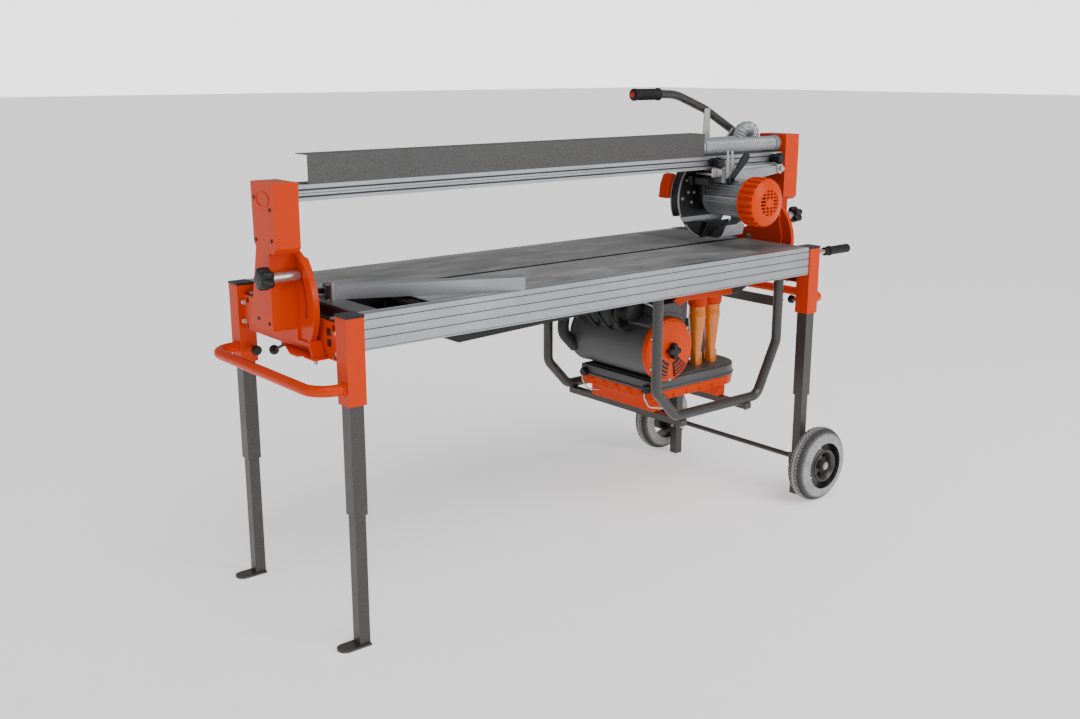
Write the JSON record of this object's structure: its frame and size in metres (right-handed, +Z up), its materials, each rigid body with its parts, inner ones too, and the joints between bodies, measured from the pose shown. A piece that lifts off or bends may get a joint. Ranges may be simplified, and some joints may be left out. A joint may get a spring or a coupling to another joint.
{
  "type": "rail tile saw",
  "caption": "Rail tile saw on a wheeled tube stand: a tilting rail carries a plunging motor head over a slotted table, with a cyclone dust collector below.",
  "frame": {"origin": "on the floor, under the middle of the whole saw's box", "axes": "+X along the cut towards the wheeled end, +Y away from the operator, +Z up"},
  "size_m": [2.225, 0.834, 1.396],
  "materials": {
    "orange_paint": "glossy powder coat",
    "orange_casting": "glossy powder coat on a casting",
    "grey_paint": "hammered powder coat",
    "black_paint": "satin",
    "extrusion": "brushed, anodised",
    "table_top": "scuffed, worn",
    "zinc": "zinc plated",
    "cast_alloy": "sand cast",
    "black_plastic": "textured",
    "orange_plastic": "moulded",
    "grey_plastic": "moulded",
    "amber_plastic": "translucent, moulded",
    "tyre_rubber": "grey, treaded",
    "grip_rubber": "soft",
    "hose_plastic": "corrugated",
    "dark_hose": "corrugated",
    "red_plastic": "moulded",
    "blade_steel": "ground"
  },
  "bodies": {
    "frame": {"front_apron": "extrusion", "rear_apron": "extrusion", "end_beams": "orange_paint", "frame_screws": "zinc", "leg_sockets": "orange_paint", "socket_caps": "black_plastic", "carry_handles": "orange_paint", "front_board": "table_top", "rear_boards": "table_top", "end_plate": "table_top", "dust_chute": "black_paint", "upper_legs": "grey_paint", "pivot_brackets": "orange_paint", "pivot_pins": "zinc", "cage_front_tube": "grey_paint", "cage_rear_tube": "grey_paint", "cage_cross_tubes": "grey_paint", "cage_strap": "grey_paint", "vacuum_base": "orange_plastic", "vacuum_deck": "grey_plastic", "vacuum_drum": "grey_plastic", "vacuum_front_cover": "orange_plastic", "cyclone_manifold": "orange_plastic", "cyclone_cones": "amber_plastic", "vacuum_motor": "grey_plastic", "vacuum_hose": "dark_hose"},
    "filter_knob": {"filter_knob": "black_plastic"},
    "front_left_leg": {"front_left_lower_leg": "grey_paint"},
    "rear_left_leg": {"rear_left_lower_leg": "grey_paint"},
    "wheel_stand": {"right_lower_legs": "grey_paint", "axle": "grey_paint"},
    "front_wheel": {"front_tyre": "tyre_rubber", "front_rim": "grey_paint"},
    "rear_wheel": {"rear_tyre": "tyre_rubber", "rear_rim": "grey_paint"},
    "front_lift_handle": {"front_lift_handle": "grip_rubber"},
    "rear_lift_handle": {"rear_lift_handle": "grip_rubber"},
    "ball_lever": {"ball_lever": "black_plastic"},
    "fence": {"fence": "extrusion"},
    "left_tilt_knob": {"left_tilt_knob": "black_plastic"},
    "right_tilt_knob": {"right_tilt_knob": "black_plastic"},
    "tilting_rail": {"rail": "extrusion", "left_post": "orange_casting", "right_post": "orange_casting", "hose_tray": "grey_paint", "rail_hose": "hose_plastic"},
    "carriage": {"carriage_plate": "zinc", "carriage_rollers": "black_plastic", "hose_return": "hose_plastic"},
    "head": {"pivot_arm": "cast_alloy", "motor_body": "cast_alloy", "fan_cover": "orange_plastic", "blade_guard": "black_paint", "head_hose": "hose_plastic", "plunge_handle": "grey_paint", "handle_grip": "grip_rubber"},
    "plunge_lever": {"plunge_lever": "black_plastic"},
    "start_button": {"start_button": "red_plastic"},
    "lower_guard": {"lower_guard": "zinc"},
    "blade": {"blade": "blade_steel"}
  },
  "joints": [
    {"name": "rail_tilt", "type": "hinge", "parent": "frame", "child": "tilting_rail", "pos_m": [-0.0725, -0.015, 0.88], "axis": [-1, 0, 0], "range_deg": [0, 45]},
    {"name": "carriage_slide", "type": "slide", "parent": "tilting_rail", "child": "carriage", "axis": [1, 0, 0], "range_m": [-1.3, 0], "deforming": ["rail_hose"]},
    {"name": "head_plunge", "type": "hinge", "parent": "carriage", "child": "head", "pos_m": [0.8055, -0.15, 1.131], "axis": [0, -1, 0], "range_deg": [0, 10.3], "stiffness_Nm_per_rad": 150, "springref_deg": -25.78, "deforming": ["head_hose"]},
    {"name": "guard_lift", "type": "slide", "parent": "head", "child": "lower_guard", "axis": [0, 0, 1], "range_m": [0, 0.037]},
    {"name": "blade_spin", "type": "hinge", "parent": "head", "child": "blade", "pos_m": [0.5925, -0.015, 1.04], "axis": [0, 1, 0], "continuous": true},
    {"name": "plunge_lock", "type": "hinge", "parent": "head", "child": "plunge_lever", "pos_m": [0.5495, -0.17, 1.104], "axis": [0, -1, 0], "range_deg": [0, 44]},
    {"name": "start_press", "type": "slide", "parent": "head", "child": "start_button", "axis": [1, 0, 0], "range_m": [0, 0.004], "stiffness_N_per_m": 400},
    {"name": "left_tilt_clamp", "type": "hinge", "parent": "frame", "child": "left_tilt_knob", "pos_m": [-1.0925, -0.12, 0.958], "axis": [1, 0, 0], "range_deg": [-180, 180]},
    {"name": "right_tilt_clamp", "type": "hinge", "parent": "frame", "child": "right_tilt_knob", "pos_m": [0.9475, -0.12, 0.958], "axis": [1, 0, 0], "range_deg": [-180, 180]},
    {"name": "front_left_leg_slide", "type": "slide", "parent": "frame", "child": "front_left_leg", "axis": [0, 0, 1], "range_m": [-0.2, 0]},
    {"name": "rear_left_leg_slide", "type": "slide", "parent": "frame", "child": "rear_left_leg", "axis": [0, 0, 1], "range_m": [-0.2, 0]},
    {"name": "wheel_stand_slide", "type": "slide", "parent": "frame", "child": "wheel_stand", "axis": [0, 0, 1], "range_m": [-0.2, 0]},
    {"name": "front_wheel_spin", "type": "hinge", "parent": "wheel_stand", "child": "front_wheel", "pos_m": [0.8175, -0.375, 0.13], "axis": [0, 1, 0], "continuous": true},
    {"name": "rear_wheel_spin", "type": "hinge", "parent": "wheel_stand", "child": "rear_wheel", "pos_m": [0.8175, 0.375, 0.13], "axis": [0, 1, 0], "continuous": true},
    {"name": "front_lift_handle_slide", "type": "slide", "parent": "frame", "child": "front_lift_handle", "axis": [1, 0, 0], "range_m": [-0.13, 0]},
    {"name": "rear_lift_handle_slide", "type": "slide", "parent": "frame", "child": "rear_lift_handle", "axis": [1, 0, 0], "range_m": [-0.13, 0]},
    {"name": "fence_swivel", "type": "hinge", "parent": "frame", "child": "fence", "pos_m": [-0.9005, -0.108, 0.88], "axis": [0, 0, 1], "range_deg": [0, 12]},
    {"name": "filter_knob_turn", "type": "hinge", "parent": "frame", "child": "filter_knob", "pos_m": [0.2725, -0.2, 0.582], "axis": [0, 1, 0], "range_deg": [0, 90]},
    {"name": "ball_lever_turn", "type": "hinge", "parent": "frame", "child": "ball_lever", "pos_m": [-0.9555, 0.06, 0.742], "axis": [0, 0, 1], "range_deg": [-30, 30]}
  ],
  "couplings": [
    {"joint": "guard_lift", "follows": "head_plunge", "m_per_rad": 0.2}
  ]
}
